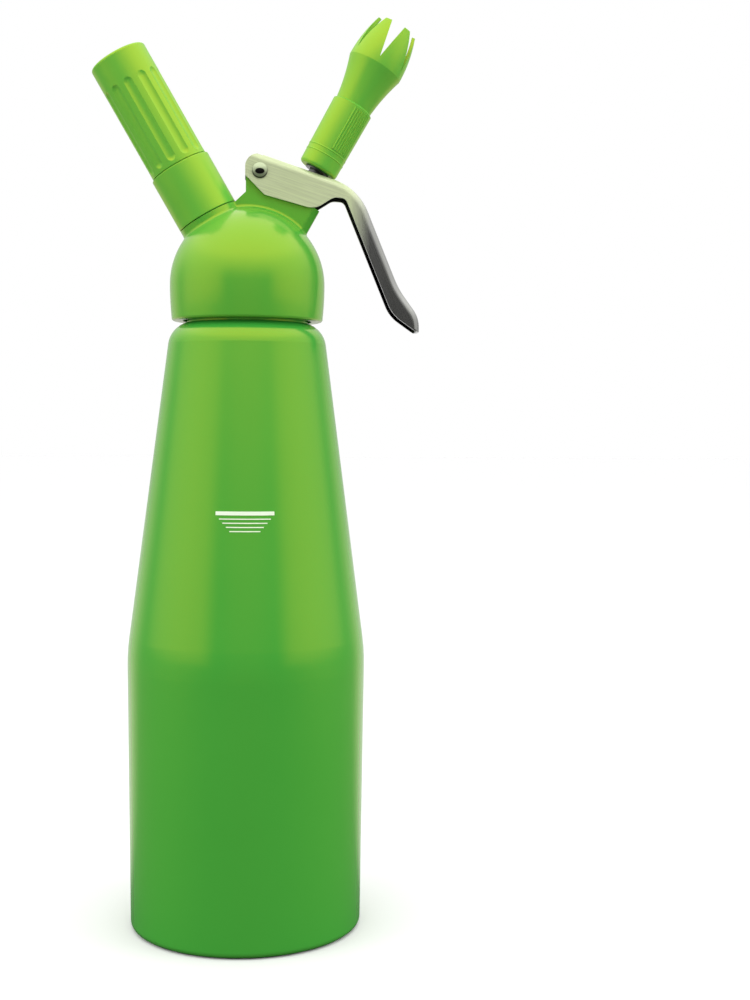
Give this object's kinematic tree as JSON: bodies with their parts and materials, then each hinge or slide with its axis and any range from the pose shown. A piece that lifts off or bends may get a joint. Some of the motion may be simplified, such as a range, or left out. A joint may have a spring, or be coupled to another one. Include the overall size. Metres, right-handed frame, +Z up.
{
  "type": "whipped cream dispenser",
  "caption": "Hand-held whipped cream dispenser: tapered bottle, screwed domed head, slanted gas charger holder, squeeze lever and slanted tulip decorating tip.",
  "frame": {"origin": "centre of the bottle's foot, in the plane it stands on", "axes": "+Z up the bottle's axis; -Y is the front; the charger holder leans to -X, the lever's handle and the decorating tip to +X"},
  "size_m": [0.1269, 0.093, 0.3566],
  "materials": {
    "green_enamel": "glossy yellow-green coating on aluminium",
    "green_plastic": "smooth satin yellow-green plastic",
    "lever_steel": "brushed lengthwise",
    "stem_steel": "turned and darkened",
    "pin_steel": "polished",
    "spring_steel": "drawn wire",
    "charger_steel": "plated steel",
    "brass_fitting": "machined",
    "seal_rubber": "matt black"
  },
  "bodies": {
    "bottle": {"bottle": "green_enamel"},
    "gasket": {"head_gasket": "seal_rubber"},
    "head": {"head_shell": "green_enamel", "injector_body": "brass_fitting", "piercing_pin": "pin_steel", "charger_seal": "seal_rubber", "check_retainer": "brass_fitting", "check_spring": "spring_steel", "valve_spring": "spring_steel", "pivot_pin": "pin_steel"},
    "check_disc": {"check_disc": "seal_rubber"},
    "lever": {"lever": "lever_steel"},
    "stem": {"valve_stem": "stem_steel", "stem_o_ring": "seal_rubber", "valve_seal": "seal_rubber", "seal_washer": "stem_steel", "stem_nut": "brass_fitting", "tip_adapter": "stem_steel"},
    "tip_seal": {"tip_seal": "seal_rubber"},
    "tip": {"decorator_tip": "green_plastic"},
    "charger": {"charger": "charger_steel"},
    "charger_holder": {"charger_holder_sleeve": "green_plastic", "charger_holder_grip": "green_plastic"}
  },
  "joints": [
    {"name": "head_lift", "type": "slide", "parent": "bottle", "child": "gasket", "axis": [0, 0, 1], "range_m": [0, 0.012]},
    {"name": "head_unscrew", "type": "hinge", "parent": "gasket", "child": "head", "pos_m": [0, 0, 0.252], "axis": [0, 0, 1], "range_deg": [0, 1080]},
    {"name": "check_travel", "type": "slide", "parent": "head", "child": "check_disc", "axis": [0.5, 0, -0.866], "range_m": [0, 0.0008], "stiffness_N_per_m": 4, "springref_m": -0.0002, "deforming": ["check_spring"]},
    {"name": "lever_press", "type": "hinge", "parent": "head", "child": "lever", "pos_m": [0.0046, 0, 0.29565], "axis": [0, 1, 0], "range_deg": [0, 9]},
    {"name": "stem_travel", "type": "slide", "parent": "head", "child": "stem", "axis": [-0.4848, 0, -0.8746], "range_m": [0, 0.0023], "stiffness_N_per_m": 2500, "springref_m": -0.0015, "deforming": ["valve_spring"]},
    {"name": "tip_lift", "type": "slide", "parent": "stem", "child": "tip_seal", "axis": [0.4848, 0, 0.8746], "range_m": [0, 0.0075]},
    {"name": "tip_unscrew", "type": "hinge", "parent": "tip_seal", "child": "tip", "pos_m": [0.02744, 0, 0.2978], "axis": [0.4848, 0, 0.8746], "range_deg": [0, 1080]},
    {"name": "charger_lift", "type": "slide", "parent": "head", "child": "charger", "axis": [-0.5, 0, 0.866], "range_m": [0, 0.009]},
    {"name": "holder_unscrew", "type": "hinge", "parent": "charger", "child": "charger_holder", "pos_m": [0, 0, 0.2517], "axis": [-0.5, 0, 0.866], "range_deg": [0, 1080]}
  ],
  "couplings": [
    {"joint": "head_unscrew", "follows": "head_lift", "rad_per_m": 1570.8},
    {"joint": "lever_press", "follows": "stem_travel", "rad_per_m": 68},
    {"joint": "tip_unscrew", "follows": "tip_lift", "rad_per_m": 2513.3},
    {"joint": "holder_unscrew", "follows": "charger_lift", "rad_per_m": 2094.4}
  ]
}
